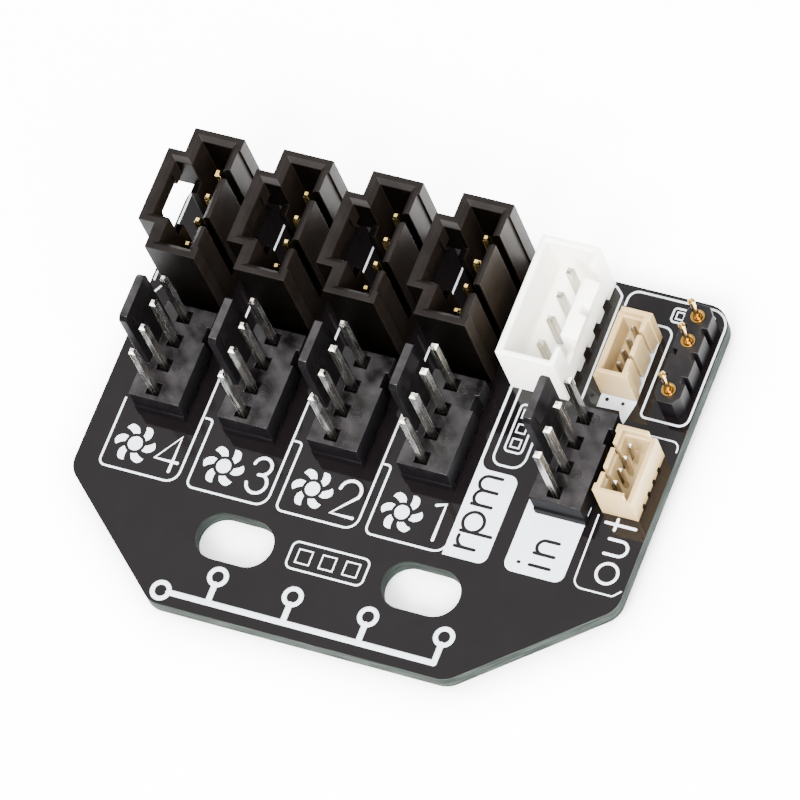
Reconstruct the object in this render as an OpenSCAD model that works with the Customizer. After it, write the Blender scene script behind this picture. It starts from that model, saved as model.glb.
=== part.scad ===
// Splitter board for addressable lighting and fans: thirteen pin headers soldered to one
// circuit board. X runs across the board, Y towards the tall headers, Z up. The origin is
// midway between the two fixing slots, on the underside of the board.

/* [Board] */
// Thickness of the circuit board
board_t = 1.6; // [1:0.1:3]
// Radius of the outline's corners
corner_r = 2.4; // [1:0.1:4]
// Board left free beside the leftmost latch
left_margin = 1.6; // [0.5:0.1:6]
// Board left free beside the turned-pin strip
right_margin = 0.77; // [0.3:0.01:6]
// Board left free behind the tall headers
back_margin = 0; // [0:0.1:4]
// Board left free in front of the fixing slots
front_margin = 5.5; // [3:0.1:12]
// Board between a slot's outer end and the front vertex beside it
vertex_margin = 1.65; // [0.5:0.05:6]
// How far the side edges stop behind the slots
shoulder_gap = 0.45; // [0:0.05:4]

/* [Fixing slots] */
// Distance between the slot centres
slot_spacing = 18.6; // [14:0.1:30]
// Overall length of each slot
slot_len = 7.6; // [6:0.1:12]
// Width of each slot
slot_w = 4.7; // [3:0.1:5.5]
// Board kept for labels between the slots and the fan headers
label_depth = 7.5; // [4:0.1:15]

/* [Square pins] */
// Side of a square pin
pin_s = 0.64; // [0.5:0.02:0.8]
// Distance between pins of the tall and fan headers
pin_pitch = 2.54; // [2.5:0.01:2.8]
// Chamfer at both ends of a square pin
pin_tip = 0.16; // [0.05:0.01:0.2]
// How far every pin sticks out under the board
tail_out = 1.5; // [1:0.1:3]
// Play between a pin's diagonal and its board hole
hole_play = 0.1; // [0.05:0.01:0.3]
// Width of the solder ring round the hole of a square or turned pin
ring_w = 0.34; // [0.2:0.01:0.36]
// Width of the solder ring round the hole of a fine pin
fine_ring_w = 0.22; // [0.1:0.01:0.25]
// Height of the solder cone under the board
solder_h = 0.95; // [0.4:0.05:0.95]

/* [Tall lighting headers] */
// Number of tall headers, with a fan header in front of each
channels = 4; // [4:1:4]
// Place of the first tall header's pins to the right of the origin
first_x = 5.65; // [2:0.05:12]
// Free space between two tall headers
tall_gap = 2.22; // [0.5:0.02:6]
// Width of the tall housing without its latch pocket
tall_w = 5.08; // [4.6:0.02:8]
// Length of the tall housing beyond its outer pins
tall_end = 2.54; // [2:0.02:4]
// Height of the tall housing
tall_h = 11.45; // [10:0.05:16]
// Thickness of the tall housing's walls
tall_wall = 1; // [0.8:0.05:1.2]
// Thickness of the tall housing's floor
tall_floor = 1.6; // [1:0.1:3]
// Chamfer round the mouth of the tall housing
mouth_c = 0.45; // [0.1:0.05:0.6]
// How far the pin tips lie below the mouth
tall_sink = 2.85; // [1:0.05:6]
// How far the latch pocket stands out
pocket_out = 1.7; // [1.2:0.05:3]
// Length of the latch pocket
pocket_len = 7.6; // [6.5:0.1:8]
// Height of the pocket's side walls
pocket_h = 4.7; // [3:0.05:6]
// Height of the bar that closes the pocket
bar_h = 2.9; // [1:0.05:2.9]
// Width of the notch below the pocket
notch_w = 3.3; // [2:0.1:5]
// Distance from the mouth down to that notch's shoulders
notch_drop = 3.95; // [3.5:0.05:6.5]
// Width of the slots in the closed side
side_slot_w = 0.92; // [0.5:0.02:1.4]
// Depth of the recess between the corner posts of the closed side
panel_recess = 0.2; // [0.05:0.01:0.3]
// Width of the corner posts of the closed side
post_w = 1.25; // [0.8:0.05:2]
// Width of the guide rib inside the front wall
rib_w = 1.5; // [0.8:0.1:2.4]
// Sideways place of that rib from the pins
rib_shift = 0.45; // [-0.6:0.05:0.6]
// Depth of the rib
rib_d = 0.25; // [0.1:0.05:0.4]
// Distance from the mouth down to the rib's top
rib_drop = 1; // [0.7:0.1:3]

/* [Fan headers] */
// Free space between the fan headers and the tall ones
row_gap = 1.05; // [0.3:0.05:5]
// Sideways shift of the fan pins against the tall headers' pins
fan_shift = 0.2; // [-0.5:0.05:0.5]
// Board kept for labels between the last channel and the fan input
label_gap = 8; // [4:0.1:14]
// Base to the left of the fan pins
fan_left = 2.2; // [2:0.05:3]
// Base to the right of the fan pins
fan_right = 2.88; // [2.4:0.02:3.4]
// Base beyond the outer fan pins
fan_end = 1.25; // [1.1:0.01:2]
// Height of the base
fan_base_h = 3.12; // [2.6:0.02:4]
// Height of the fan pins above the board
fan_pin_h = 10.95; // [8:0.05:13]
// How far the guide wall rises past the mouths of the tall headers
guide_above = 0.3; // [-2:0.05:2]
// Thickness of the guide wall
guide_t = 0.8; // [0.6:0.05:1.1]
// Width of the guide wall
guide_w = 4.9; // [3:0.05:5.2]
// Place of the guide wall behind the middle of the base
guide_shift = 0.96; // [0.6:0.02:1.3]
// Chamfer at the corners of the guide wall
guide_c = 0.4; // [0.2:0.05:1]
// Length of the catch, measured down the guide wall
catch_len = 1.8; // [1:0.1:3]
// Depth of the catch on the guide wall
catch_d = 0.25; // [0.1:0.05:0.4]
// How far the catch stops short of the wall's edges
catch_in = 0.9; // [0.5:0.1:1.5]
// Side of the square recess round each fan pin
well_s = 1.3; // [0.9:0.05:1.4]
// Depth of that recess
well_d = 0.7; // [0.2:0.05:0.9]
// Width of the key notch in the right side
key_w = 1.55; // [0.6:0.05:1.6]
// Depth of the key notch
key_d = 0.35; // [0.2:0.05:0.8]
// Width of the vents under the right side
vent_w = 1.1; // [0.6:0.05:1.6]
// Height of those vents
vent_h = 0.8; // [0.3:0.05:1]
// How far the base's foot stands out past both ends
ledge_d = 0.14; // [0.05:0.01:0.25]
// Height of that foot
ledge_h = 0.95; // [0.6:0.05:1.2]

/* [White input header] */
// Free space between the first tall header and the white header
white_gap = 1.8; // [0.4:0.05:5]
// Distance between the white header's pins
white_pitch = 2.5; // [2.5:0.01:2.8]
// Housing beyond the outer pins
white_end = 2.45; // [2:0.05:3.5]
// Housing to the left of the pins
white_left = 3.35; // [2.8:0.05:4.5]
// Housing to the right of the pins
white_right = 2.4; // [1.8:0.05:3]
// Height of the white housing
white_h = 7; // [6:0.1:9]
// Thickness of the white housing's walls
white_wall = 0.6; // [0.5:0.02:0.9]
// Thickness of the white housing's floor
white_floor = 1.5; // [1:0.1:2.5]
// How far the pin tips lie below the white rim
white_sink = 0.85; // [0.3:0.05:2]
// Width of the two slots in the slotted side
white_slot_w = 1.2; // [0.5:0.05:1.4]
// Distance of each slot's middle from the middle of the housing
white_slot_y = 3.6; // [3:0.05:4.2]
// Height of the slots' sills above the board
white_sill = 3.4; // [2:0.1:5]
// How far the tongue between the slots flares out past the wall
lip_out = 1; // [0.2:0.05:1.4]
// How much lower the tongue's outer edge lies than the rim
lip_drop = 0.4; // [0.1:0.05:1]
// Thickness of the tongue's outer edge
lip_edge = 0.3; // [0.2:0.05:0.8]
// Width of the notch in the middle of the tongue's edge
lip_notch_w = 1; // [0.4:0.05:1.6]
// Depth of that notch
lip_notch_d = 0.7; // [0.2:0.05:0.8]
// Width of the bottom notches
foot_w = 1.2; // [0.5:0.05:1.6]
// Depth of the bottom notches
foot_d = 0.45; // [0.15:0.05:0.5]
// Height of the bottom notches
foot_h = 1; // [0.3:0.05:1.2]

/* [Ivory headers] */
// Free space between the white header and the ivory input header
ivory_gap = 2.55; // [0.5:0.05:5]
// Free space between the fan input header and the ivory output header
output_gap = 0.87; // [0.3:0.01:4]
// Place of the ivory input header in front of the tall headers' middle
ivory_back = 1.27; // [0:0.01:2.5]
// Distance between the ivory headers' pins
ivory_pitch = 1.25; // [1.25:0.01:1.5]
// Side of an ivory header's pin
fine_s = 0.4; // [0.3:0.02:0.5]
// Housing beyond the outer pins
ivory_end = 1.52; // [1.3:0.02:2.5]
// Slotted face to pins
ivory_front = 1.5; // [1.3:0.05:2]
// Low wall to pins
ivory_rear = 2.05; // [1.7:0.05:2.4]
// Height of the end walls and the slotted wall
ivory_h = 4.7; // [4:0.1:6]
// Height of the low wall
ivory_low_h = 3.5; // [2.5:0.1:3.9]
// Thickness of the ivory walls
ivory_wall = 0.42; // [0.3:0.02:0.5]
// Thickness of the ivory floor
ivory_floor = 0.7; // [0.6:0.05:1.4]
// How far the ivory pin tips lie below the rim
ivory_sink = 0.45; // [0.3:0.05:1.5]
// How far the end flanges stand out past the slotted wall
flange_d = 0.2; // [0.05:0.05:0.4]
// Length of an end flange
flange_len = 0.75; // [0.6:0.05:1]
// Width of the fine slots
fine_slot_w = 0.42; // [0.2:0.02:0.6]
// Width of the windows at the foot of the fine slots
window_w = 0.6; // [0.4:0.02:0.8]
// Height of those windows
window_h = 1; // [0.4:0.1:2]
// Depth of those windows into the floor
window_d = 0.5; // [0.1:0.05:0.6]
// Width of the scallops under the low wall
scallop_w = 0.52; // [0.3:0.02:0.8]
// Height of the scallops
scallop_h = 0.55; // [0.2:0.05:0.8]
// Depth of the scallops
scallop_d = 0.25; // [0.1:0.05:0.3]

/* [Turned-pin strip] */
// Free space between the ivory input header and the strip
strip_gap = 2.23; // [0.5:0.01:5]
// Place of the strip in front of the tall headers' middle
strip_back = 0.2; // [0:0.05:2]
// Width of the strip
strip_w = 2.54; // [2:0.02:3]
// Height of the strip
strip_h = 2.9; // [2:0.1:4]
// Chamfer at the strip's corners, measured across the strip
strip_c = 0.55; // [0.2:0.05:0.6]
// The same chamfer, measured along the strip
strip_run = 0.8; // [0.3:0.05:1]
// Width of the slits between the positions
slit_w = 0.65; // [0.2:0.05:0.8]
// Depth of those slits
slit_d = 0.6; // [0.2:0.05:0.6]
// Diameter of a turned pin
turned_d = 0.5; // [0.4:0.02:0.6]
// Diameter of the knob at its tip
knob_d = 0.66; // [0.6:0.02:0.9]
// Height of the knob
knob_h = 0.35; // [0.2:0.05:0.8]
// Height of a turned pin above the board
turned_h = 6.2; // [4.5:0.1:9]
// Diameter of the turned pin's collar
collar_d = 1.34; // [1:0.02:1.7]
// Height of the collar above the strip
collar_h = 0.2; // [0.1:0.05:0.5]
// Diameter of the turned pin's barrel inside the strip
barrel_d = 0.9; // [0.75:0.05:0.95]

/* [Hidden] */
$fn = 48;
// Overshoot of a cut past the face that it opens
over = 1;
// Small chamfers and hollows turned on the round pins
dish = 0.12;
// Straight steps in each rounded corner of the board
corner_steps = 12;
// Solder left round the tail at the bottom of the cone
solder_lip = 0.12;
positions = 4;
// Diagonal of a square against its side
diagonal = sqrt(2);
// Degrees in half a turn
half_turn = 180;
guide_h = tall_h + guide_above;
square_hole = pin_s * diagonal + hole_play;
fine_hole = fine_s * diagonal + hole_play;
turned_hole = turned_d + 2 * hole_play;

tall_len = (positions - 1) * pin_pitch + 2 * tall_end;
tall_pitch = tall_w + pocket_out + tall_gap;
fan_len = (positions - 1) * pin_pitch + 2 * fan_end;
white_len = (positions - 1) * white_pitch + 2 * white_end;
ivory_len = (positions - 1) * ivory_pitch + 2 * ivory_end;
strip_len = positions * pin_pitch;

fan_y = slot_w / 2 + label_depth + fan_len / 2;
tall_y = fan_y + fan_len / 2 + row_gap + tall_len / 2;
ivory_in_y = tall_y - ivory_back;
strip_y = tall_y - strip_back;
function tall_x(i) = first_x - (i - 1) * tall_pitch;
function fan_x(i) = tall_x(i) + fan_shift;
white_x = first_x + tall_w / 2 + white_gap + white_left;
ivory_in_x = white_x + white_right + ivory_gap + ivory_rear;
strip_x = ivory_in_x + ivory_front + strip_gap + strip_w / 2;
fan_in_x = fan_x(1) + fan_right + label_gap + fan_left;
ivory_out_x = fan_in_x + fan_right + output_gap + ivory_front;

board_left = tall_x(channels) - tall_w / 2 - pocket_out - left_margin;
board_right = max(strip_x + strip_w / 2, ivory_out_x + ivory_rear) + right_margin;
board_back = tall_y + tall_len / 2 + back_margin;
board_front = -slot_w / 2 - front_margin;
shoulder_y = slot_w / 2 + shoulder_gap;
vertex_x = slot_spacing / 2 + slot_len / 2 + vertex_margin;
outline = [[-vertex_x, board_front], [vertex_x, board_front], [board_right, shoulder_y],
    [board_right, board_back], [board_left, board_back], [board_left, shoulder_y]];

// Heights above the board's top face are used in every header
module on_board(x, y) { translate([x, y, board_t]) children(); }

// Places of a row of pins along Y, centred on the header
module row(count, pitch) {
    for (k = [0 : count - 1]) translate([0, (k - (count - 1) / 2) * pitch, 0]) children();
}

// A box given by its two corners
module block(low, high) { translate(low) cube(high - low); }

// A box with its two lengthwise edges sloped, z0 to z1, widening by c at the top
module funnel(x0, x1, y0, y1, z, c) {
    intersection() {
        translate([0, y1 + c, 0]) rotate([90, 0, 0]) linear_extrude(y1 - y0 + 2 * c)
            polygon([[x0, z - c], [x1, z - c], [x1 + c, z], [x1 + c, z + over],
                [x0 - c, z + over], [x0 - c, z]]);
        translate([x0 - c, 0, 0]) rotate([90, 0, 90]) linear_extrude(x1 - x0 + 2 * c)
            polygon([[y0, z - c], [y1, z - c], [y1 + c, z], [y1 + c, z + over],
                [y0 - c, z + over], [y0 - c, z]]);
    }
}

// Square bar from z0 to z1 with both ends chamfered on all four sides
module square_pin(s, z0, z1) {
    h = s / 2;
    c = min(pin_tip, s / 3);
    profile = [[-h + c, z0], [h - c, z0], [h, z0 + 2 * c], [h, z1 - 2 * c],
        [h - c, z1], [-h + c, z1], [-h, z1 - 2 * c], [-h, z0 + 2 * c]];
    intersection() {
        translate([0, h, 0]) rotate([90, 0, 0]) linear_extrude(s) polygon(profile);
        translate([-h, 0, 0]) rotate([90, 0, 90]) linear_extrude(s) polygon(profile);
    }
}

module square_pins(s, count, pitch, top) {
    row(count, pitch) square_pin(s, -board_t - tail_out, top);
}

// Solder fills the plated hole and climbs the tail in a cone under the board
module solder_joint(hole, tail, ring) {
    difference() {
        union() {
            translate([0, 0, -board_t]) cylinder(d = hole, h = board_t);
            translate([0, 0, -board_t - solder_h])
                cylinder(d1 = tail + solder_lip, d2 = hole + 2 * ring, h = solder_h);
        }
        children();
    }
}

module square_joint(s, hole, ring) {
    solder_joint(hole, s * diagonal, ring) block([-s / 2, -s / 2, -board_t - solder_h - over],
        [s / 2, s / 2, over]);
}

// Points of the arc that rounds corner p of an outline whose neighbours are a and b
function corner_arc(p, a, b, r) =
    let (u = (a - p) / norm(a - p), v = (b - p) / norm(b - p), half = acos(u * v) / 2,
        c = p + (u + v) / norm(u + v) * r / sin(half), t = r / tan(half),
        from = atan2(p[1] + t * u[1] - c[1], p[0] + t * u[0] - c[0]),
        to = atan2(p[1] + t * v[1] - c[1], p[0] + t * v[0] - c[0]),
        swept = to - from,
        turn = abs(swept) > half_turn ? swept - sign(swept) * 2 * half_turn : swept)
    [for (k = [0 : corner_steps]) c + r * [cos(from + turn * k / corner_steps), sin(from + turn * k / corner_steps)]];

module slot(x) {
    run = (slot_len - slot_w) / 2;
    translate([x, 0, -over]) {
        for (side = [-1, 1]) translate([side * run, 0, 0]) cylinder(d = slot_w, h = board_t + 2 * over);
        block([-run, -slot_w / 2, 0], [run, slot_w / 2, board_t + 2 * over]);
    }
}

module holes(x, y, count, pitch, d) {
    translate([x, y, -over]) row(count, pitch) cylinder(d = d, h = board_t + 2 * over);
}

module circuit_board() {
    n = len(outline);
    color([0.13, 0.12, 0.12]) difference() {
        linear_extrude(board_t) polygon([for (k = [0 : n - 1])
            each corner_arc(outline[k], outline[(k + n - 1) % n], outline[(k + 1) % n], corner_r)]);
        for (side = [-1, 1]) slot(side * slot_spacing / 2);
        for (i = [1 : channels]) {
            holes(tall_x(i), tall_y, positions, pin_pitch, square_hole);
            holes(fan_x(i), fan_y, positions, pin_pitch, square_hole);
        }
        holes(fan_in_x, fan_y, positions, pin_pitch, square_hole);
        holes(white_x, tall_y, positions, white_pitch, square_hole);
        holes(ivory_in_x, ivory_in_y, positions, ivory_pitch, fine_hole);
        holes(ivory_out_x, fan_y, positions, ivory_pitch, fine_hole);
        strip_places() translate([0, 0, -over]) cylinder(d = turned_hole, h = board_t + 2 * over);
    }
}

// Shrouded housing with an open latch pocket on its left and a slotted side on its right
module tall_housing() {
    hx = tall_w / 2;
    hy = tall_len / 2;
    ix = hx - tall_wall;
    iy = hy - tall_wall;
    py = pocket_len / 2;
    iy_pocket = py - tall_wall;
    pocket_x = -hx - pocket_out;
    difference() {
        union() {
            block([-hx, -hy, 0], [hx, hy, tall_h]);
            block([pocket_x, -py, tall_h - pocket_h], [-hx, py, tall_h]);
        }
        // Main cavity and its sloped mouth, leaving a guide rib on the front wall
        difference() {
            union() {
                block([-ix, -iy, tall_floor], [ix, iy, tall_h + over]);
                funnel(-ix, ix, -iy, iy, tall_h, mouth_c);
            }
            block([rib_shift - rib_w / 2, -iy - mouth_c, tall_floor - over],
                [rib_shift + rib_w / 2, -iy + rib_d, tall_h - rib_drop]);
        }
        // Latch pocket: open below, joined to the cavity, closed by the bar at the top
        block([pocket_x + tall_wall, -iy_pocket, tall_h - notch_drop], [-ix + mouth_c, iy_pocket, tall_h + over]);
        funnel(pocket_x + tall_wall, -ix, -iy_pocket, iy_pocket, tall_h, mouth_c);
        block([pocket_x - over, -iy_pocket, 0], [pocket_x + tall_wall + over, iy_pocket, tall_h - bar_h]);
        block([-hx - over, -notch_w / 2, tall_floor], [-ix + over, notch_w / 2, tall_h - over]);
        // Two slots and the recessed panels of the closed side
        for (side = [-1, 1])
            translate([0, side * pin_pitch, 0])
                block([ix - over, -side_slot_w / 2, tall_floor], [hx + over, side_slot_w / 2, tall_h + over]);
        block([hx - panel_recess, -hy + post_w, -over], [hx + over, hy - post_w, tall_h + over]);
        row(positions, pin_pitch) block([-pin_s / 2, -pin_s / 2, -over], [pin_s / 2, pin_s / 2, tall_floor + over]);
    }
}

// Open base with square wells, a key notch and a guide wall with its catch
module fan_housing() {
    hy = fan_len / 2;
    difference() {
        union() {
            block([-fan_left, -hy, 0], [fan_right, hy, fan_base_h]);
            guide_wall();
        }
        row(positions, pin_pitch) {
            translate([0, 0, fan_base_h - well_d]) block([-well_s / 2, -well_s / 2, 0], [well_s / 2, well_s / 2, well_d + over]);
            block([-pin_s / 2, -pin_s / 2, -over], [pin_s / 2, pin_s / 2, fan_base_h + over]);
            // Vent under the right edge beside each pin
            block([fan_right - key_d, -vent_w / 2, -over], [fan_right + over, vent_w / 2, vent_h]);
        }
        translate([0, pin_pitch, 0])
            block([fan_right - key_d, -key_w / 2, -over], [fan_right + over, key_w / 2, fan_base_h + over]);
        // The foot stands out below this cut at both ends
        for (end = [-1, 1]) scale([1, end, 1])
            block([-fan_left - over, hy - ledge_d, ledge_h], [fan_right + over, hy + over, fan_base_h + over]);
    }
}

module guide_wall() {
    low = guide_shift - guide_w / 2;
    high = guide_shift + guide_w / 2;
    union() {
        translate([-fan_left, 0, 0]) rotate([90, 0, 90]) linear_extrude(guide_t)
            polygon([[low, 0], [high, 0], [high, guide_h - guide_c], [high - guide_c, guide_h],
                [low + guide_c, guide_h], [low, guide_h - guide_c]]);
        // Sloped catch that the plug's ramp snaps under
        translate([-fan_left + guide_t, high - catch_in, 0]) rotate([90, 0, 0]) linear_extrude(guide_w - 2 * catch_in)
            polygon([[-guide_t / 2, guide_h - guide_c - catch_len - catch_d], [0, guide_h - guide_c - catch_len - catch_d],
                [catch_d, guide_h - guide_c - catch_len], [0, guide_h - guide_c], [-guide_t / 2, guide_h - guide_c]]);
    }
}

// Tongue between the slots of the white housing, flared outwards with a notch in its edge
module flared_tongue() {
    half = white_slot_y - white_slot_w / 2;
    out = white_right + lip_out;
    difference() {
        translate([0, half, 0]) rotate([90, 0, 0]) linear_extrude(2 * half)
            polygon([[white_right - white_wall / 2, white_sill], [white_right, white_sill],
                [out, white_h - lip_drop - lip_edge], [out, white_h - lip_drop], [white_right, white_h],
                [white_right - white_wall / 2, white_h]]);
        block([out - lip_notch_d, -lip_notch_w / 2, white_sill], [out + over, lip_notch_w / 2, white_h + over]);
    }
}

// White housing: four walls, the right one slotted, with notches under its edge
module white_housing() {
    hy = white_len / 2;
    inner_left = -white_left + white_wall;
    inner_right = white_right - white_wall;
    iy = hy - white_wall;
    difference() {
        union() {
            block([-white_left, -hy, 0], [white_right, hy, white_h]);
            flared_tongue();
        }
        block([inner_left, -iy, white_floor], [inner_right, iy, white_h + over]);
        funnel(inner_left, inner_right, -iy, iy, white_h, white_wall / 3);
        for (side = [-1, 1]) translate([0, side * white_slot_y, 0])
            block([inner_right - over, -white_slot_w / 2, white_sill], [white_right + over, white_slot_w / 2, white_h + over]);
        row(positions, white_pitch) {
            block([-pin_s / 2, -pin_s / 2, -over], [pin_s / 2, pin_s / 2, white_floor + over]);
            for (x = [-white_left - over, white_right - foot_d])
                block([x, -foot_w / 2, -over], [x + foot_d + over, foot_w / 2, foot_h]);
        }
    }
}

// Small ivory housing: end flanges and a slotted wall towards -X, a lower wall behind the pins
module ivory_housing() {
    hy = ivory_len / 2;
    iy = hy - ivory_wall;
    ix0 = -ivory_front + flange_d + ivory_wall;
    ix1 = ivory_rear - ivory_wall - scallop_d / 2;
    panel_y = hy - flange_len;
    difference() {
        block([-ivory_front, -hy, 0], [ivory_rear, hy, ivory_h]);
        block([ix0, -iy, ivory_floor], [ix1, iy, ivory_h + over]);
        funnel(ix0, ix1, -iy, iy, ivory_low_h, ivory_wall / 3);
        // The low wall, level with the end walls' shoulders
        block([ix1, -hy - over, ivory_low_h], [ivory_rear + over, hy + over, ivory_h + over]);
        // The slotted wall lies behind the flanges
        block([-ivory_front - over, -panel_y, -over], [-ivory_front + flange_d, panel_y, ivory_h + over]);
        for (side = [-1, 1]) translate([0, side * ivory_pitch, 0]) {
            block([-ivory_front - over, -fine_slot_w / 2, ivory_floor], [ix0 + over, fine_slot_w / 2, ivory_h + over]);
            block([-ivory_front - over, -window_w / 2, -over], [ix0 + window_d, window_w / 2, window_h]);
        }
        row(positions, ivory_pitch) {
            block([-fine_s / 2, -fine_s / 2, -over], [fine_s / 2, fine_s / 2, ivory_floor + over]);
            block([ivory_rear - scallop_d, -scallop_w / 2, -over], [ivory_rear + over, scallop_w / 2, scallop_h]);
        }
    }
}

// Places of the three turned pins: the strip's third position from the back is blank
module strip_places() {
    translate([strip_x, strip_y, 0])
        for (k = [0, 1, 3]) translate([0, (1.5 - k) * pin_pitch, 0]) children();
}

// Bar with cut corners and a slit on both sides between two positions
module strip_outline() {
    h = strip_w / 2;
    l = strip_len / 2;
    c = strip_c;
    e = l - strip_run;
    difference() {
        polygon([[-h + c, -l], [h - c, -l], [h, -e], [h, e], [h - c, l], [-h + c, l], [-h, e], [-h, -e]]);
        for (side = [-1, 1], k = [1 : positions - 1])
            translate([side * h, (k - positions / 2) * pin_pitch]) square([2 * slit_d, slit_w], center = true);
    }
}

module turned_pin_strip() {
    color([0.24, 0.24, 0.25]) difference() {
        on_board(strip_x, strip_y) linear_extrude(strip_h) strip_outline();
        strip_places() on_board(0, 0) {
            translate([0, 0, -over]) cylinder(d = barrel_d, h = strip_h + 2 * over);
        }
    }
}

// Turned pin: tail, barrel, dished collar, shaft and dimpled knob, as one profile spun about its axis
module turned_pin() {
    r = turned_d / 2;
    b = barrel_d / 2;
    k = knob_d / 2;
    rim = collar_d / 2;
    bottom = -board_t - tail_out;
    rotate_extrude() polygon([[0, bottom], [r - dish, bottom], [r, bottom + dish], [r, 0], [b, 0], [b, strip_h],
        [rim, strip_h], [rim, strip_h + collar_h], [rim - dish, strip_h + collar_h], [r + dish / 2, strip_h + dish / 3],
        [r, strip_h + dish / 3], [r, turned_h - knob_h - dish], [k, turned_h - knob_h], [k, turned_h - dish],
        [k - dish, turned_h], [dish, turned_h], [0, turned_h - dish]]);
}

module turned_joint() {
    solder_joint(turned_hole, turned_d, ring_w)
        translate([0, 0, -board_t - solder_h - over]) cylinder(d = turned_d, h = board_t + solder_h + 2 * over);
}

housing_black = [0.16, 0.14, 0.14];
pin_silver = [0.8, 0.78, 0.72];
pin_gold = [0.86, 0.72, 0.42];
solder_grey = [0.72, 0.73, 0.75];

module lighting_header(i) { color(housing_black) on_board(tall_x(i), tall_y) tall_housing(); }
module lighting_pins(i) {
    color(pin_gold) on_board(tall_x(i), tall_y) square_pins(pin_s, positions, pin_pitch, tall_h - tall_sink);
}
module lighting_solder(i) {
    color(solder_grey) on_board(tall_x(i), tall_y) row(positions, pin_pitch) square_joint(pin_s, square_hole, ring_w);
}
module fan_header(i) { color(housing_black) on_board(fan_x(i), fan_y) fan_housing(); }
module fan_pins(i) {
    color(pin_silver) on_board(fan_x(i), fan_y) square_pins(pin_s, positions, pin_pitch, fan_pin_h);
}
module fan_solder(i) {
    color(solder_grey) on_board(fan_x(i), fan_y) row(positions, pin_pitch) square_joint(pin_s, square_hole, ring_w);
}
module fan_input_header() { color(housing_black) on_board(fan_in_x, fan_y) fan_housing(); }
module fan_input_pins() {
    color(pin_silver) on_board(fan_in_x, fan_y) square_pins(pin_s, positions, pin_pitch, fan_pin_h);
}
module fan_input_solder() {
    color(solder_grey) on_board(fan_in_x, fan_y) row(positions, pin_pitch) square_joint(pin_s, square_hole, ring_w);
}
module white_input_header() { color([0.95, 0.95, 0.93]) on_board(white_x, tall_y) white_housing(); }
module white_input_pins() {
    color(pin_silver) on_board(white_x, tall_y) square_pins(pin_s, positions, white_pitch, white_h - white_sink);
}
module white_input_solder() {
    color(solder_grey) on_board(white_x, tall_y) row(positions, white_pitch) square_joint(pin_s, square_hole, ring_w);
}
module ivory_input_header() {
    color([0.93, 0.87, 0.76]) on_board(ivory_in_x, ivory_in_y) rotate([0, 0, half_turn]) ivory_housing();
}
module ivory_input_pins() {
    color(pin_silver) on_board(ivory_in_x, ivory_in_y) square_pins(fine_s, positions, ivory_pitch, ivory_h - ivory_sink);
}
module ivory_input_solder() {
    color(solder_grey) on_board(ivory_in_x, ivory_in_y) row(positions, ivory_pitch) square_joint(fine_s, fine_hole, fine_ring_w);
}
module ivory_output_header() { color([0.93, 0.87, 0.76]) on_board(ivory_out_x, fan_y) ivory_housing(); }
module ivory_output_pins() {
    color(pin_silver) on_board(ivory_out_x, fan_y) square_pins(fine_s, positions, ivory_pitch, ivory_h - ivory_sink);
}
module ivory_output_solder() {
    color(solder_grey) on_board(ivory_out_x, fan_y) row(positions, ivory_pitch) square_joint(fine_s, fine_hole, fine_ring_w);
}
module turned_pins() { color(pin_gold) strip_places() on_board(0, 0) turned_pin(); }
module turned_pin_solder() { color(solder_grey) strip_places() on_board(0, 0) turned_joint(); }

circuit_board();
for (i = [1 : channels]) {
    lighting_header(i);
    lighting_pins(i);
    lighting_solder(i);
    fan_header(i);
    fan_pins(i);
    fan_solder(i);
}
fan_input_header();
fan_input_pins();
fan_input_solder();
white_input_header();
white_input_pins();
white_input_solder();
ivory_input_header();
ivory_input_pins();
ivory_input_solder();
ivory_output_header();
ivory_output_pins();
ivory_output_solder();
turned_pin_strip();
turned_pins();
turned_pin_solder();
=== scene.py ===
import math

import bmesh
import bpy
from mathutils import Matrix, Vector


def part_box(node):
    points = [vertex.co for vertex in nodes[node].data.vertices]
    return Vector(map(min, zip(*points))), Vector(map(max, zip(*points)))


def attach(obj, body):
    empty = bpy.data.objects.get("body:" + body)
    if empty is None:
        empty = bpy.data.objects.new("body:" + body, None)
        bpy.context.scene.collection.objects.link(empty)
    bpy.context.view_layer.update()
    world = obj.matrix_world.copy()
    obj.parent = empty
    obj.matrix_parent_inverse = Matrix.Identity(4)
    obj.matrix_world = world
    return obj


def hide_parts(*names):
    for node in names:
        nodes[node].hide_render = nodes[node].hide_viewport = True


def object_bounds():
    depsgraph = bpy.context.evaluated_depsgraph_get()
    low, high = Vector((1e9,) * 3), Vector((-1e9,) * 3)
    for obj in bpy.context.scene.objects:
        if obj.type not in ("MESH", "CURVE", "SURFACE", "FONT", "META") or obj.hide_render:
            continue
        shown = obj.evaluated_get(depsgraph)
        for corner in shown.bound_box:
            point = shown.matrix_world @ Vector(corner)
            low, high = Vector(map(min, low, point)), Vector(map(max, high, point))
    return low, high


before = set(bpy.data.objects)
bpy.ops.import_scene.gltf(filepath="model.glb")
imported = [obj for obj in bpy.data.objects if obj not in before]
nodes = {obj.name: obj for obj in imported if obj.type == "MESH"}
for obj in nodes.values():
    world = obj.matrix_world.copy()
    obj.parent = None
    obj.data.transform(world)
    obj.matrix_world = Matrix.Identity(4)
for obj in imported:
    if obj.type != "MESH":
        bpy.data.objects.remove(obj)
cad_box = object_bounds()
MM = 0.001

# Bare circuit board: glass-fibre laminate under satin black solder mask. The outline and
# the slots are milled after the mask is on, so the cut edges show the grey-green laminate.

MASK_BLACK = (0.0026, 0.0020, 0.0022, 1)
LAMINATE = (0.0145, 0.0185, 0.016, 1)
LAMINATE_DARK = (0.003, 0.0045, 0.0035, 1)
MASK_GLOSS = 0.27
MASK_ROUGHNESS = (0.06, 0.1)
CUT_GLOSS = 0.03
CUT_ROUGHNESS = 0.72


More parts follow.
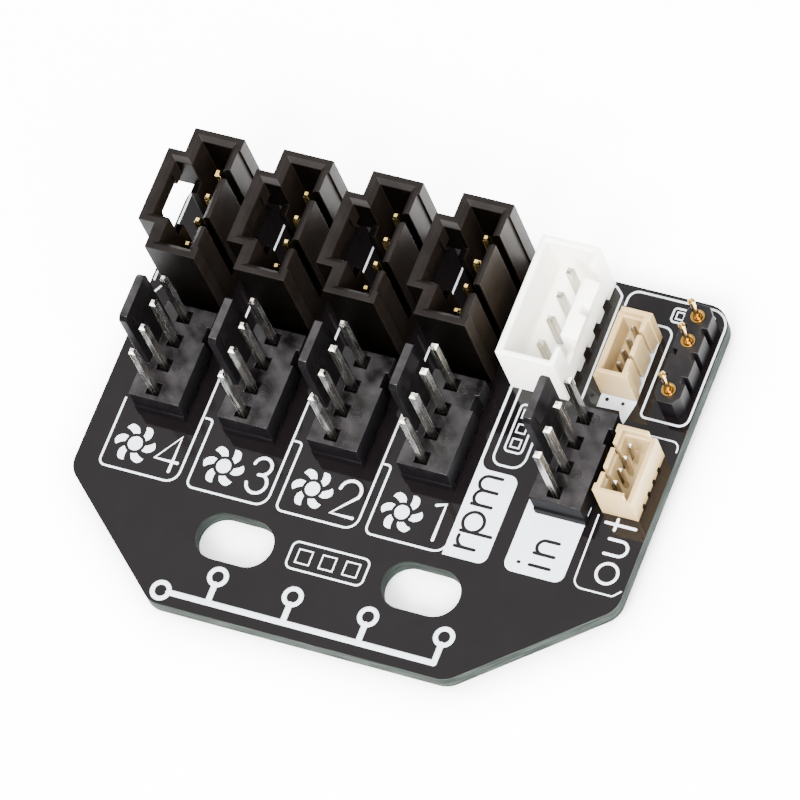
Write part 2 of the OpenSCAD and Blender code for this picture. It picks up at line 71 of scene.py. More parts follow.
def shader(name, base, rough, metallic=0.0, specular=0.5):
    """A new material with its node tree and its Principled shader."""
    material = bpy.data.materials.new(name)
    material.use_nodes = True
    tree = material.node_tree
    surface = tree.nodes["Principled BSDF"]
    surface.inputs["Base Color"].default_value = base
    surface.inputs["Roughness"].default_value = rough
    surface.inputs["Metallic"].default_value = metallic
    surface.inputs["Specular IOR Level"].default_value = specular
    return material, tree, surface


def texture(tree, kind, scale, stretch=(1, 1, 1), **values):
    """A procedural texture measured in millimetres on the object's own coordinates."""
    place = tree.nodes.new("ShaderNodeTexCoord")
    mapping = tree.nodes.new("ShaderNodeMapping")
    mapping.inputs["Scale"].default_value = [scale * s / MM for s in stretch]
    tree.links.new(place.outputs["Object"], mapping.inputs["Vector"])
    node = tree.nodes.new(kind)
    tree.links.new(mapping.outputs["Vector"], node.inputs["Vector"])
    node.inputs["Scale"].default_value = 1.0
    for key, value in values.items():
        node.inputs[key].default_value = value
    return node


def ramp(tree, source, stops):
    """Colours laid along a texture's value; stops are (position, colour)."""
    node = tree.nodes.new("ShaderNodeValToRGB")
    tree.links.new(source, node.inputs["Fac"])
    while len(node.color_ramp.elements) < len(stops):
        node.color_ramp.elements.new(0.5)
    for element, (position, colour) in zip(node.color_ramp.elements, stops):
        element.position = position
        element.color = colour
    return node.outputs["Color"]


def span(tree, source, low, high, start=0.0, end=1.0):
    """A value that runs from start to end, brought into the range low to high."""
    node = tree.nodes.new("ShaderNodeMapRange")
    tree.links.new(source, node.inputs["Value"])
    node.inputs["From Min"].default_value = start
    node.inputs["From Max"].default_value = end
    node.inputs["To Min"].default_value = low
    node.inputs["To Max"].default_value = high
    return node.outputs["Result"]


def grain(tree, surface, source, height):
    """A bump of the given height in millimetres."""
    node = tree.nodes.new("ShaderNodeBump")
    node.inputs["Strength"].default_value = 1.0
    node.inputs["Distance"].default_value = height * MM
    tree.links.new(source, node.inputs["Height"])
    tree.links.new(node.outputs["Normal"], surface.inputs["Normal"])


def feed(tree, socket, value):
    """Sets an input to a number or colour, or links another node's output to it."""
    if isinstance(value, bpy.types.NodeSocket):
        tree.links.new(value, socket)
    else:
        socket.default_value = value


def blended(tree, factor, low, high, colour=False):
    """Two numbers or two colours mixed by a factor."""
    node = tree.nodes.new("ShaderNodeMix")
    node.data_type = "RGBA" if colour else "FLOAT"
    # A Mix node has sockets for every kind of data, told apart only by their order
    first, second, result = (6, 7, 2) if colour else (2, 3, 0)
    feed(tree, node.inputs[0], factor)
    feed(tree, node.inputs[first], low)
    feed(tree, node.inputs[second], high)
    return node.outputs[result]


def computed(tree, operation, *values):
    """The result of one sum on numbers or on other nodes' outputs."""
    node = tree.nodes.new("ShaderNodeMath")
    node.operation = operation
    for socket, value in zip(node.inputs, values):
        feed(tree, socket, value)
    return node.outputs[0]


def component(tree, kind, output, axis):
    """One axis of a vector: of the way a face looks, or of a place on the object."""
    source = tree.nodes.new(kind)
    parts = tree.nodes.new("ShaderNodeSeparateXYZ")
    tree.links.new(source.outputs[output], parts.inputs["Vector"])
    return parts.outputs[axis]


def tint(colour, factor):
    """A colour made darker or lighter."""
    return (colour[0] * factor, colour[1] * factor, colour[2] * factor, 1)


def dress(name, material):
    """Gives a CAD node's slots one material."""
    for slot in nodes[name].material_slots:
        slot.material = material


def board_material():
    """Mask with a faint orange peel on the flat faces, bare laminate on the cut edges."""
    material, tree, surface = shader("board_laminate", MASK_BLACK, 0.08, specular=MASK_GLOSS)
    upright = component(tree, "ShaderNodeNewGeometry", "Normal", "Z")
    flat = computed(tree, "GREATER_THAN", computed(tree, "ABSOLUTE", upright), 0.5)
    pour = texture(tree, "ShaderNodeTexNoise", 0.35, Detail=3.0, Roughness=0.55)
    mask = ramp(tree, pour.outputs["Fac"],
                [(0.35, tint(MASK_BLACK, 0.92)), (0.65, tint(MASK_BLACK, 1.12))])
    plies = texture(tree, "ShaderNodeTexNoise", 1.0, (0.35, 0.35, 7.0), Detail=4.0, Roughness=0.6)
    edge = ramp(tree, plies.outputs["Fac"],
                [(0.36, LAMINATE_DARK), (0.54, LAMINATE), (0.72, tint(LAMINATE, 2.3))])
    tree.links.new(blended(tree, flat, edge, mask, True), surface.inputs["Base Color"])
    orange_peel = texture(tree, "ShaderNodeTexNoise", 2.2, Detail=2.0)
    mask_rough = span(tree, orange_peel.outputs["Fac"], *MASK_ROUGHNESS)
    tree.links.new(blended(tree, flat, CUT_ROUGHNESS, mask_rough), surface.inputs["Roughness"])
    gloss = blended(tree, flat, CUT_GLOSS, MASK_GLOSS)
    tree.links.new(gloss, surface.inputs["Specular IOR Level"])
    grain(tree, surface, orange_peel.outputs["Fac"], 0.002)
    return material


mask_over_laminate = board_material()
dress("circuit_board", mask_over_laminate)
BOARD_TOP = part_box("circuit_board")[1][2]

# White printing on the board: epoxy ink screened on over the mask, a few hundredths of a
# millimetre thick. One line runs round each channel's label and on between the tall
# headers. Places are in millimetres from the middle of the two slots.

INK_WHITE = (0.47, 0.495, 0.53, 1)
INK_HEIGHT = 0.02
FRAME_LINE = 0.22
# A line's end narrows like a half circle, drawn at these angles round from its side
CAP_TURNS = (80, 55, 28)


def ink_material(name, colour, specular=0.35):
    """A matt print, a little uneven in tone and thickness."""
    material, tree, surface = shader(name, colour, 0.55, specular=specular)
    mottle = texture(tree, "ShaderNodeTexNoise", 1.4, Detail=4.0, Roughness=0.6)
    tone = ramp(tree, mottle.outputs["Fac"], [(0.3, tint(colour, 0.93)), (0.6, colour)])
    tree.links.new(tone, surface.inputs["Base Color"])
    grain(tree, surface, mottle.outputs["Fac"], 0.004)
    return material


def arc(x, y, radius, start, end, steps=12):
    """Points on an arc, in degrees anticlockwise from +X."""
    turns = [math.radians(start + (end - start) * k / steps) for k in range(steps + 1)]
    return [(x + radius * math.cos(t), y + radius * math.sin(t)) for t in turns]


def eased(points, radius, closed=False, steps=6):
    """A polyline with rounded corners; a point's third value is its own radius."""
    places = [Vector(point[:2]) for point in points]
    out = []
    for k, point in enumerate(points):
        here = places[k]
        turn = point[2] if len(point) > 2 else radius
        if turn == 0 or (not closed and k in (0, len(points) - 1)):
            out.append(here)
            continue
        before = (places[k - 1] - here).normalized()
        after = (places[(k + 1) % len(points)] - here).normalized()
        half = before.angle(after) / 2
        reach = turn / math.tan(half)
        centre = here + (before + after).normalized() * turn / math.sin(half)
        first, last = here + before * reach - centre, here + after * reach - centre
        for step in range(steps + 1):
            out.append(centre + first.slerp(last, step / steps).normalized() * turn)
    return [(p.x, p.y) for p in out]


def capped(line, width):
    """A line's points with their radii, and a round end beyond each of its tips."""
    track = [(x, y, 1.0) for x, y in line]
    for end, inner in ((0, 1), (-1, -2)):
        tip = Vector(line[end])
        away = (tip - Vector(line[inner])).normalized() * width / 2
        cap = []
        for degrees in CAP_TURNS:
            reach, radius = math.sin(math.radians(degrees)), math.cos(math.radians(degrees))
            cap.append((tip.x + away.x * reach, tip.y + away.y * reach, radius))
        track = cap + track if end == 0 else track + cap[::-1]
    return track


def printed(name, lines, width, material, closed=False, lift=0.0):
    """Lines of ink, closed loops or with round ends, flattened onto the board."""
    curve = bpy.data.curves.new(name, "CURVE")
    curve.dimensions = "3D"
    curve.bevel_depth = width / 2
    curve.bevel_resolution = 2
    curve.use_fill_caps = True
    for line in lines:
        track = [(x, y, 1.0) for x, y in line] if closed else capped(line, width)
        spline = curve.splines.new("POLY")
        spline.points.add(len(track) - 1)
        for point, (x, y, radius) in zip(spline.points, track):
            point.co = (x, y, 0, 1)
            point.radius = radius
        spline.use_cyclic_u = closed
    return laid(name, curve, material, INK_HEIGHT / (width / 2), lift)


def filled(name, outlines, material, lift=0.0):
    """Solid ink areas bounded by closed polylines; a second loop inside another is a hole."""
    curve = bpy.data.curves.new(name, "CURVE")
    curve.dimensions = "2D"
    curve.fill_mode = "BOTH"
    curve.extrude = INK_HEIGHT
    for outline in outlines:
        spline = curve.splines.new("POLY")
        spline.points.add(len(outline) - 1)
        for point, (x, y) in zip(spline.points, outline):
            point.co = (x, y, 0, 1)
        spline.use_cyclic_u = True
    return laid(name, curve, material, 1.0, lift)


def laid(name, curve, material, flatten, lift):
    """Turns a curve in millimetres into a mesh piece, laid lift mm above the board."""
    drawing = bpy.data.objects.new(name, curve)
    bpy.context.collection.objects.link(drawing)
    bpy.context.view_layer.update()
    mesh = bpy.data.meshes.new_from_object(drawing)
    bpy.data.objects.remove(drawing)
    mesh.name = name
    mesh.transform(Matrix.Diagonal((MM, MM, MM * flatten, 1)))
    mesh.transform(Matrix.Translation((0, 0, BOARD_TOP + lift * MM)))
    mesh.materials.clear()
    mesh.materials.append(material)
    piece = bpy.data.objects.new(name, mesh)
    bpy.context.collection.objects.link(piece)
    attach(piece, "root")
    return piece


ink = ink_material("screened_white_ink", INK_WHITE)

FRAME_FOOT = 3.87
FRAME_HEAD = 33.35
FIRST_FRAME_HEAD = 21.3
HOOK_Y = 10.8
HOOK_LENGTH = 0.75
FRAME_CORNER, RIGHT_CORNER, LEFT_CORNER = 0.35, 1.2, 0.65
# Left and right line of each channel's frame, from channel 1 to channel 4
LANE_LINES = [(2.15, 10.05), (-6.8, 1.2), (-15.85, -7.8), (-24.8, -16.9)]

frames = []
for channel, (left, right) in enumerate(LANE_LINES):
    head = FRAME_HEAD if channel else FIRST_FRAME_HEAD
    turns = [(right, head), (right, FRAME_FOOT, RIGHT_CORNER), (left, FRAME_FOOT, LEFT_CORNER),
             (left, HOOK_Y)]
    if channel < len(LANE_LINES) - 1:
        turns.append((left - HOOK_LENGTH, HOOK_Y))
    frames.append(eased(turns, FRAME_CORNER))
# The line left of the fourth tall header, and the short dash in front of it
frames.append([(-26.9, FRAME_HEAD), (-26.9, 22.9)])
frames.append([(-26.0, 22.4), (-26.4, 21.7)])
printed("channel_frames", frames, FRAME_LINE, ink)

# Channel labels inside the frames: a fan sign of a hub and six swept blades, and a plain
# number, screened on with the frames in the same white ink.

FAN_SIGNS = [(4.79, 6.69), (-4.16, 6.7), (-13.12, 6.67), (-22.13, 6.65)]
HUB_RADIUS = 0.71
BLADES = 6
BLADE_TURN = 104
# One blade from its root round its full front edge to its pointed tip: radius, degrees
BLADE = [(1.02, -16.5), (1.2, -14.5), (1.5, -9.5), (1.74, -2), (1.91, 5), (2.01, 10.5), (2.04, 15.5),
         (2.02, 20), (1.98, 24), (1.93, 28.5), (1.86, 31.5), (1.7, 28.5), (1.52, 25), (1.2, 19.5),
         (1.02, 16.5), (1.01, 0)]
NUMBER_LINE = 0.33


def ring(x, y, radius, sides=24):
    """Points all round a circle, without the first one again at the end."""
    return arc(x, y, radius, 0, 360 - 360 / sides, sides - 1)


signs = []
for x, y in FAN_SIGNS:
    signs.append(ring(x, y, HUB_RADIUS))
    for k in range(BLADES):
        turns = [(r, math.radians(BLADE_TURN + 360 * k / BLADES + sweep)) for r, sweep in BLADE]
        signs.append([(x + r * math.cos(t), y + r * math.sin(t)) for r, t in turns])
filled("fan_signs", signs, ink)

# The numbers 1, 2, the two bows of 3, and 4
numbers = [
    [(7.68, 8.2), (8.53, 8.5), (8.53, 4.85)],
    arc(-0.62, 7.42, 1.03, 178, -25) + [(-1.69, 4.9), (0.52, 4.9)],
    arc(-9.5, 7.6, 0.86, 172, -62) + [(-9.35, 6.73)],
    [(-9.6, 6.73)] + arc(-9.48, 5.86, 0.98, 72, -172),
    [(-18.0, 4.82), (-18.0, 8.4), (-19.81, 5.8), (-17.5, 5.8)],
]
printed("channel_numbers", numbers, NUMBER_LINE, ink)

# Words for the signals, in single strokes that read up the board: two are left open in a
# solid block of ink and one is printed inside a frame.

# The first block hangs from the first channel's frame, whose line runs on behind it
RPM_BLOCK = [(9.9, FRAME_FOOT - 0.1, 0), (14.12, FRAME_FOOT - 0.1, 0.85), (14.12, 12.75, 0.85),
             (10.17, 12.75, 0.95), (10.17, FIRST_FRAME_HEAD, 0), (9.93, FIRST_FRAME_HEAD, 0)]
IN_BLOCK = [(15.75, 3.85, 0.9), (21.6, 3.85, 0.9), (21.6, 12.0, 0), (15.75, 12.0, 0)]
filled("signal_blocks", [eased(RPM_BLOCK, 0, closed=True), eased(IN_BLOCK, 0, closed=True)], ink)

STEM = [(0, 1), (0, 0)]
# Strokes of round lower-case letters with an x-height of 1, and the step to the next one
LETTERS = {
    "r": ([STEM, arc(0.45, 0.54, 0.45, 180, 75, 8)], 0.81),
    "n": ([STEM, arc(0.355, 0.62, 0.355, 180, 0, 10) + [(0.71, 0)]], 1.2),
    "m": ([STEM, arc(0.378, 0.62, 0.378, 180, 0, 10) + [(0.755, 0)],
           arc(1.133, 0.62, 0.378, 180, 0, 10) + [(1.51, 0)]], 1.9),
    "p": ([[(0, 1), (0, -0.53)], arc(0.52, 0.54, 0.52, 0, 350, 24) + [(1.04, 0.54)]], 1.415),
    "i": ([STEM, [(0, 1.52), (0, 1.56)]], 0.626),
    "o": ([arc(0.5, 0.5, 0.5, 0, 350, 24) + [(1, 0.5)]], 1.415),
    "u": ([[(0, 1), (0, 0.37)] + arc(0.37, 0.37, 0.37, 180, 360, 10) + [(0.74, 1)]], 1.195),
    "t": ([[(0.27, 1.445), (0.27, 0)], [(0, 0.94), (0.535, 0.94)]], 0.6),
}


def word(letters, feet_x, start_y, height):
    """A word that reads towards +Y, with its letters' feet on the line x = feet_x."""
    strokes, at = [], 0.0
    for letter in letters:
        shapes, advance = LETTERS[letter]
        for shape in shapes:
            strokes.append([(feet_x - v * height, start_y + (at + u) * height) for u, v in shape])
        at += advance
    return strokes


OPEN_STROKE = 0.34
OUTPUT_STROKE = 0.3
open_words = word("rpm", 12.65, 4.88, 1.95) + word("in", 20.02, 4.9, 1.95)
printed("open_words", open_words, OPEN_STROKE, mask_over_laminate, lift=INK_HEIGHT)
printed("output_word", word("out", 26.25, 4.94, 2.0), OUTPUT_STROKE, ink)

# Lines that tie the input headers to their signals, the pointer on the ivory header's
# block, and plated vias tented by the mask.

# Where lines that run off the board are cut by its right edge
BOARD_EDGE = 27.13
OUTPUT_LINE = 0.16
input_lines = [
    eased([(10.95, FIRST_FRAME_HEAD), (10.95, 13.5, 0.9), (14.0, 13.5, 1.2), (14.0, 20.5)], 0),
    eased([(16.8, 21.3), (16.72, 32.5, 0.5), (15.9, 33.25, 0.5), (14.5, 33.3)], 0),
    eased([(17.3, 31.7), (17.3, 33.3, 1.0), (BOARD_EDGE, 33.3, 1.75), (BOARD_EDGE, 21.4, 0.9),
           (22.6, 21.4, 0.5), (22.6, 30.5, 0.9), (20.9, 30.5)], 0),
]
printed("input_lines", input_lines, FRAME_LINE, ink)
output_lines = [
    eased([(22.45, 11.2), (22.6, 3.95, 0.9), (26.5, 3.95, 0.4), (BOARD_EDGE, 4.6)], 0),
    eased([(24.2, 19.85), (BOARD_EDGE, 19.85, 0.7), (BOARD_EDGE, 18.9)], 0),
]
printed("output_lines", output_lines, OUTPUT_LINE, ink)
POINTER_BLOCK = [(18.4, 21.35), (20.6, 21.45), (21.35, 19.9), (21.85, 22.5), (21.75, 28.85),
                 (18.35, 28.85)]
filled("ivory_header_block", [POINTER_BLOCK], ink)
VIAS_ON_INK = [(19.09, 22.24), (20.67, 22.18)]
VIAS_ON_MASK = [(17.61, 22.3), (22.1, 29.7)]
VIA_RADIUS = 0.19
VIA_SIDES = 18
VIA_BLACK = (0.0008, 0.0007, 0.0007, 1)
hole_black = ink_material("tented_via", VIA_BLACK, specular=0.2)
vias_on_ink = [ring(x, y, VIA_RADIUS, VIA_SIDES) for x, y in VIAS_ON_INK]
filled("vias_in_the_ink", vias_on_ink, hole_black, INK_HEIGHT)
filled("vias_in_the_mask", [ring(x, y, VIA_RADIUS, VIA_SIDES) for x, y in VIAS_ON_MASK], hole_black)

# Plain signs: along the front edge one line in, shared out to four; between the slots,
# beside the incoming fan signal and behind the ivory header, small pictures of lamps.

SIGN_LINE = 0.6
RING_LINE = 0.48
LAMP_LINE = 0.2
BUS_START = -13.3
BUS_Y = -6.5
BRANCH_XS = (-9.4, -1.9, 5.6, 13.1)
RING_RADIUS = 0.8
STEM_TOP = -4.65
sign = [[(BUS_START, BUS_Y), (BRANCH_XS[-1], BUS_Y)]]
sign += [[(x, BUS_Y), (x, STEM_TOP)] for x in BRANCH_XS]
printed("splitter_sign", sign, SIGN_LINE, ink)
ends = [ring(x, STEM_TOP + RING_RADIUS, RING_RADIUS) for x in BRANCH_XS]
ends.append(ring(BUS_START - RING_RADIUS, BUS_Y, RING_RADIUS))
printed("splitter_rings", ends, RING_LINE, ink, closed=True)


def lamp_strip(x, y, lamp, count, upright=False):
    """Outlines of a rounded strip with square lamps in a row, centred on x, y."""
    pitch = lamp * 1.75
    reach, half = count * pitch / 2 + lamp * 0.2, lamp / 2
    box = [(-reach, -lamp), (reach, -lamp), (reach, lamp), (-reach, lamp)]
    shapes = [eased(box, lamp * 0.45, closed=True)]
    for k in range(count):
        at = (k - (count - 1) / 2) * pitch
        shapes.append([(at - half, -half), (at + half, -half), (at + half, half), (at - half, half)])
    return [[(x - v, y + u) if upright else (x + u, y + v) for u, v in shape] for shape in shapes]


lamp_signs = lamp_strip(0.0, 0.1, 1.35, 3) + lamp_strip(12.5, 17.4, 0.85, 3, upright=True)
lamp_signs += lamp_strip(23.9, 31.9, 0.7, 3)
printed("lamp_signs", lamp_signs, LAMP_LINE, ink, closed=True)

# Black moulded housings: glass-filled nylon in the tall ones, a smoother grade in the low
# bases. The faces along the draw are polished, and they and the wells are painted deep black as
# shade; the tops are painted greyer as a highlight and the right sides lighter as painted light,
# and the moulds' ejector pins have left rings on the bases.

# The second colour of each pair is a lighter copy of the first, laid on upward faces as a painted
# highlight; the first is kept near nought as painted shade
SHROUD_BLACK = (0.0006, 0.00042, 0.00032, 1)
SHROUD_PAINTED_LIT_TOP = (0.0052, 0.0042, 0.0038, 1)
BASE_BLACK = (0.0022, 0.0019, 0.0022, 1)
BASE_PAINTED_LIT_TOP = (0.0054, 0.0048, 0.0051, 1)
SIDE_GLOSS, FLANK_GLOSS = 0.012, 0.04


def facing(tree, axis, low=0.15, high=0.6):
    """One on faces that look along an axis, nought on the others."""
    return span(tree, component(tree, "ShaderNodeNewGeometry", "Normal", axis), 0, 1, low, high)


def painted_highlight_crown(tree, low, high, slope):
    """One on a moulding's painted-highlight tops, nought in its painted-shade wells; heights above the
    board in mm.
    """
    height = component(tree, "ShaderNodeTexCoord", "Object", "Z")
    raised = span(tree, height, 0, 1, BOARD_TOP + low * MM, BOARD_TOP + high * MM)
    return computed(tree, "MULTIPLY", raised, facing(tree, "Z", *slope))


def moulded(name, side, top, side_rough, top_rough, heights, top_gloss, patches=(0.8, 1.25), waves=0.02,
            flank=1.0, slope=(0.15, 0.6)):
    """Black plastic with polished sides, its colour lit and shaded by paint.

    The painted-highlight tops lie between the two heights, patches are how far their tone goes
    down and up, waves are shallow sinks in mm, and flank is how much lighter the right sides are
    painted.
    """
    material, tree, surface = shader(name, side, side_rough[0], specular=top_gloss)
    cloud = texture(tree, "ShaderNodeTexNoise", 0.45, Detail=5.0, Roughness=0.6)
    fac = cloud.outputs["Fac"]
    up = painted_highlight_crown(tree, *heights, slope)
    right = facing(tree, "X")
    # Fronts keep the dark colour as painted shade, right sides are painted lighter by flank as painted
    # light, and tops get the lighter copy as a painted highlight; the cloud varies the tone at random
    fronts = ramp(tree, fac, [(0.3, tint(side, 0.8)), (0.7, tint(side, 1.25))])
    painted_lit_flanks = ramp(tree, fac, [(0.3, tint(side, flank * 0.7)), (0.7, tint(side, flank * 1.3))])
    tops = ramp(tree, fac, [(0.36, tint(top, patches[0])), (0.66, tint(top, patches[1]))])
    sides = blended(tree, right, fronts, painted_lit_flanks, True)
    tree.links.new(blended(tree, up, sides, tops, True), surface.inputs["Base Color"])
    rough = blended(tree, up, span(tree, fac, *side_rough), span(tree, fac, *top_rough))
    tree.links.new(rough, surface.inputs["Roughness"])
    gloss = blended(tree, up, blended(tree, right, SIDE_GLOSS, FLANK_GLOSS), top_gloss)
    tree.links.new(gloss, surface.inputs["Specular IOR Level"])
    wide = texture(tree, "ShaderNodeTexNoise", 0.42, Detail=1.0)
    grain(tree, surface, wide.outputs["Fac"], waves)
    return material


WELD = 0.001
FLAT_ANGLE = math.radians(0.5)
CRISP_ANGLE = math.radians(20)


def softened(node, width, material):
    """A copy of a CAD housing with its edges rounded off over a width in mm."""
    mesh = nodes[node].data.copy()
    mesh.name = node + "_moulding"
    bm = bmesh.new()
    bm.from_mesh(mesh)
    bmesh.ops.remove_doubles(bm, verts=bm.verts, dist=WELD * MM)
    bmesh.ops.dissolve_limit(bm, angle_limit=FLAT_ANGLE, verts=bm.verts, edges=bm.edges,
                             use_dissolve_boundaries=False)
    crisp = [e for e in bm.edges if len(e.link_faces) == 2 and e.calc_face_angle(0) > CRISP_ANGLE]
    bmesh.ops.bevel(bm, geom=crisp, offset=width * MM, offset_type="OFFSET", segments=2, profile=0.5,
                    affect="EDGES", clamp_overlap=True, material=-1)
    bm.to_mesh(mesh)
    bm.free()
    mesh.materials.clear()
    mesh.materials.append(material)
    mesh.shade_smooth()
    piece = bpy.data.objects.new(mesh.name, mesh)
    bpy.context.collection.objects.link(piece)
    weights = piece.modifiers.new("even_faces", "WEIGHTED_NORMAL")
    weights.weight = 100
    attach(piece, "root")
    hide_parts(node)
    return piece


# The tall housings' right sides are painted ten times lighter as painted light; the wide patches on the
# bases' tops are painted sheen on top of random tone
shroud_black = moulded("glass_filled_black_nylon", SHROUD_BLACK, SHROUD_PAINTED_LIT_TOP, side_rough=(0.35, 0.45),
                       top_rough=(0.4, 0.55), heights=(8, 11), top_gloss=0.06, flank=10)
base_black = moulded("smooth_black_nylon", BASE_BLACK, BASE_PAINTED_LIT_TOP, side_rough=(0.3, 0.45),
                     top_rough=(0.12, 0.26), heights=(2.6, 3.0), top_gloss=0.5, patches=(0.2, 2.6),
                     waves=0.06, slope=(0.75, 0.95))
SHROUD_ROUNDING = 0.06
BASE_ROUNDING = 0.05
CHANNELS = (1, 2, 3, 4)
for channel in CHANNELS:
    softened(f"lighting_header_{channel}", SHROUD_ROUNDING, shroud_black)
    softened(f"fan_header_{channel}", BASE_ROUNDING, base_black)
softened("fan_input_header", BASE_ROUNDING, base_black)

BASE_HEIGHT = 3.12
MARK_RADIUS = 0.36
MARK_LINE = 0.1
# Each base's ejector rings, from the middle of its pins
MARKS = {
    "fan_pins_1": [(1.47, -1.31), (1.25, 3.58)],
    "fan_pins_2": [(1.59, -1.38), (-0.05, -2.46)],
    "fan_pins_3": [(1.0, -1.32), (-0.04, -2.44)],
    "fan_pins_4": [(1.28, -1.31)],
    "fan_input_pins": [(1.02, 3.89), (1.35, -1.76)],
}
marks = []
for pins, places in MARKS.items():
    low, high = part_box(pins)
    middle_x, middle_y = (low[0] + high[0]) / 2 / MM, (low[1] + high[1]) / 2 / MM
    for x, y in places:
        marks.append(ring(middle_x + x, middle_y + y, MARK_RADIUS))
        marks.append(ring(middle_x + x, middle_y + y, MARK_RADIUS * 0.4, 12))
printed("ejector_rings", marks, MARK_LINE, hole_black, closed=True, lift=BASE_HEIGHT)

# Contact pins: square wire, cut to length, so the faces carry fine drawing lines along
# the pin. The tall headers' pins are gold flashed, the others tinned.

GOLD = (0.74, 0.53, 0.19, 1)
TIN = (0.49, 0.47, 0.425, 1)


def drawn_wire(name, colour, rough):
    """Plated wire with drawing lines along its sides and dull sheared ends."""
    material, tree, surface = shader(name, colour, rough, metallic=1.0)
    lines = texture(tree, "ShaderNodeTexNoise", 1.0, (6, 6, 0.22), Detail=3.0)
    sides = ramp(tree, lines.outputs["Fac"], [(0.38, tint(colour, 0.65)), (0.62, tint(colour, 1.1))])
    cut = facing(tree, "Z", 0.85, 0.97)
    tree.links.new(blended(tree, cut, sides, tint(colour, 1.3), True), surface.inputs["Base Color"])
    drawn = span(tree, lines.outputs["Fac"], rough - 0.12, rough + 0.18)
    tree.links.new(blended(tree, cut, drawn, 0.5), surface.inputs["Roughness"])
    return material


gold_wire = drawn_wire("gold_flashed_wire", GOLD, 0.2)
tinned_wire = drawn_wire("tinned_wire", TIN, 0.2)
for channel in CHANNELS:
    dress(f"lighting_pins_{channel}", gold_wire)
    dress(f"fan_pins_{channel}", tinned_wire)
for name in ("fan_input_pins", "white_input_pins", "ivory_input_pins", "ivory_output_pins"):
    dress(name, tinned_wire)

# White and ivory headers: thin-walled mouldings of unfilled nylon, which lets a little
# light into its edges. They stand on short feet and are held by their soldered pins.

NYLON_WHITE = (0.90, 0.88, 0.81, 1)
NYLON_IVORY = (0.345, 0.24, 0.108, 1)
WARM_SCATTER = (1.0, 0.85, 0.65)


def unfilled_nylon(name, colour, rough, depth):
    """Pale nylon that light enters to a depth in mm."""
    material, tree, surface = shader(name, colour, rough)
    cloud = texture(tree, "ShaderNodeTexNoise", 0.5, Detail=4.0)
    tone = ramp(tree, cloud.outputs["Fac"], [(0.3, tint(colour, 0.95)), (0.7, tint(colour, 1.02))])
    tree.links.new(tone, surface.inputs["Base Color"])
    surface.inputs["Subsurface Weight"].default_value = 0.6
    surface.inputs["Subsurface Radius"].default_value = WARM_SCATTER
    surface.inputs["Subsurface Scale"].default_value = depth * MM
    fine = texture(tree, "ShaderNodeTexNoise", 5.0, Detail=3.0)
    grain(tree, surface, fine.outputs["Fac"], 0.002)
    return material


white_nylon = unfilled_nylon("natural_white_nylon", NYLON_WHITE, 0.34, 0.8)
ivory_nylon = unfilled_nylon("ivory_nylon", NYLON_IVORY, 0.38, 0.5)
WHITE_ROUNDING = 0.1
IVORY_ROUNDING = 0.05
softened("white_input_header", WHITE_ROUNDING, white_nylon)
softened("ivory_input_header", IVORY_ROUNDING, ivory_nylon)
softened("ivory_output_header", IVORY_ROUNDING, ivory_nylon)

# Turned-pin strip: a black polyester body, moulded in one row and snapped to length, with
# contacts turned from brass, gold plated and pressed in from above.

STRIP_ROUNDING = 0.07
# Like the other black mouldings, its tops get the lighter colour as a painted highlight and its sides
# the black as painted shade
strip_black = moulded("black_polyester", BASE_BLACK, BASE_PAINTED_LIT_TOP, side_rough=(0.35, 0.5),
                      top_rough=(0.3, 0.5), heights=(0, 0.5), top_gloss=0.14)
softened("turned_pin_strip", STRIP_ROUNDING, strip_black)

TURNED_GOLD = (0.44, 0.275, 0.075, 1)


def turned_gold():
    """Gold plate over the fine rings that the lathe tool leaves."""
    material, tree, surface = shader("turned_gold", TURNED_GOLD, 0.13, metallic=1.0)
    lathe = texture(tree, "ShaderNodeTexNoise", 1.0, (0.4, 0.4, 14), Detail=2.0)
    colour = ramp(tree, lathe.outputs["Fac"],
                  [(0.3, tint(TURNED_GOLD, 0.8)), (0.7, tint(TURNED_GOLD, 1.1))])
    tree.links.new(colour, surface.inputs["Base Color"])
    grain(tree, surface, lathe.outputs["Fac"], 0.002)
    return material


dress("turned_pins", turned_gold())

# Solder joints: a bright cone of tin alloy round each tail under the board, which wicked
# up the plated hole from the wave and set with small crystals on its skin.

SOLDER = (0.66, 0.67, 0.69, 1)


def solder_material():
    """Bright tin, duller at the edges of its crystals."""
    material, tree, surface = shader("tin_solder", SOLDER, 0.24, metallic=1.0)
    crystals = texture(tree, "ShaderNodeTexVoronoi", 3.5)
    tree.links.new(span(tree, crystals.outputs["Distance"], 0.18, 0.36), surface.inputs["Roughness"])
    grain(tree, surface, crystals.outputs["Distance"], 0.006)
    return material


solder = solder_material()
for name in nodes:
    if "solder" in name:
        dress(name, solder)

# Plain pale floor under the tails, soft studio light, and the camera: a long lens that
# looks down on the front right corner, rolled so that the board lies aslant.

FLOOR_WHITE = (0.86, 0.86, 0.86, 1)
FLOOR_HALF_WIDTH = 2.0
# The paper glows evenly like a light table, dimmed as painted shadow where the part stands close above
# it
FLOOR_GLOW, SHADED_GLOW = 9.0, 0.2
OPEN_SHARE = (0.48, 0.98)
SHADE_REACH = 5.0
bm = bmesh.new()
bmesh.ops.create_grid(bm, x_segments=1, y_segments=1, size=FLOOR_HALF_WIDTH)
bmesh.ops.translate(bm, verts=bm.verts, vec=(0, 0, cad_box[0][2]))
floor_mesh = bpy.data.meshes.new("floor")
bm.to_mesh(floor_mesh)
bm.free()
floor = bpy.data.objects.new("floor", floor_mesh)
bpy.context.collection.objects.link(floor)
paper, floor_tree, floor_surface = shader("matt_white_paper", FLOOR_WHITE, 0.9, specular=0.1)
floor_surface.inputs["Emission Color"].default_value = FLOOR_WHITE
openness = floor_tree.nodes.new("ShaderNodeAmbientOcclusion")
openness.inputs["Distance"].default_value = SHADE_REACH * MM
glow = span(floor_tree, openness.outputs["AO"], SHADED_GLOW, FLOOR_GLOW, *OPEN_SHARE)
floor_tree.links.new(glow, floor_surface.inputs["Emission Strength"])
floor_mesh.materials.append(paper)

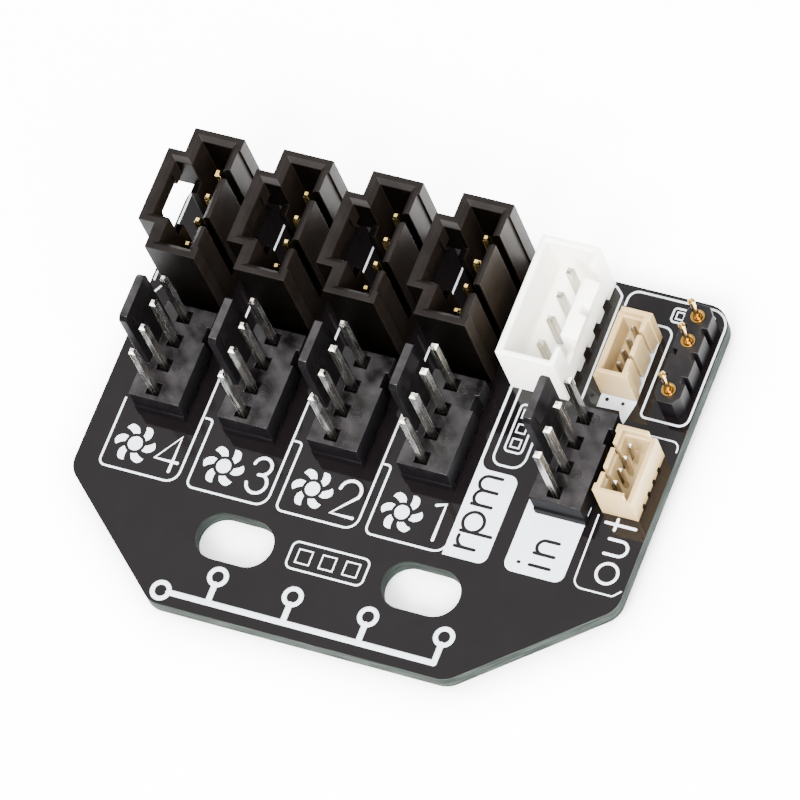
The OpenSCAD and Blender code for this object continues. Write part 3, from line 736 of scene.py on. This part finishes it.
SKY_STRENGTH = 1.6
world = bpy.data.worlds.new("studio")
bpy.context.scene.world = world
world.use_nodes = True
sky = world.node_tree.nodes["Background"]
sky.inputs["Color"].default_value = (1, 1, 1, 1)
sky.inputs["Strength"].default_value = SKY_STRENGTH

AIM = Vector((0.435, 17.23, 1.6)) * MM
LAMP_DISTANCE = 0.8


def towards(azimuth, elevation):
    """The way out from the part in degrees: azimuth 0 is its front, 90 its right side."""
    round_z, up = math.radians(azimuth), math.radians(elevation)
    flat = math.cos(up)
    return Vector((math.sin(round_z) * flat, -math.cos(round_z) * flat, math.sin(up)))


def soft_light(name, azimuth, elevation, size, power):
    """A soft box that looks at the part; its size is in metres and its power in watts."""
    light = bpy.data.lights.new(name, "AREA")
    light.shape = "RECTANGLE"
    light.size, light.size_y = size
    light.energy = power
    lamp = bpy.data.objects.new(name, light)
    bpy.context.collection.objects.link(lamp)
    way = towards(azimuth, elevation)
    lamp.location = AIM + way * LAMP_DISTANCE
    lamp.rotation_euler = way.to_track_quat("Z", "Y").to_euler()


soft_light("corner_box", 62, 34, (0.5, 0.3), 12.0)
soft_light("front_box", 5, 47, (0.4, 0.3), 40.0)
soft_light("overhead_box", 60, 62, (0.4, 0.4), 10.0)
soft_light("back_box", 285, 42, (0.3, 0.3), 5.0)

VIEW_AZIMUTH, VIEW_ELEVATION, VIEW_ROLL = 45.36, 59.99, 27.01
VIEW_DISTANCE = 0.64814
LENS, SENSOR = 320.8, 36.0
camera_data = bpy.data.cameras.new("camera")
camera_data.lens = LENS
camera_data.sensor_width = SENSOR
camera_data.clip_start = 0.05
camera_data.clip_end = 10.0
camera = bpy.data.objects.new("camera", camera_data)
bpy.context.collection.objects.link(camera)
camera.location = AIM + towards(VIEW_AZIMUTH, VIEW_ELEVATION) * VIEW_DISTANCE
swung = Matrix.Rotation(math.radians(VIEW_AZIMUTH), 3, "Z")
raised = Matrix.Rotation(math.pi / 2 - math.radians(VIEW_ELEVATION), 3, "X")
rolled = Matrix.Rotation(-math.radians(VIEW_ROLL), 3, "Z")
camera.rotation_euler = (swung @ raised @ rolled).to_euler()
bpy.context.scene.camera = camera
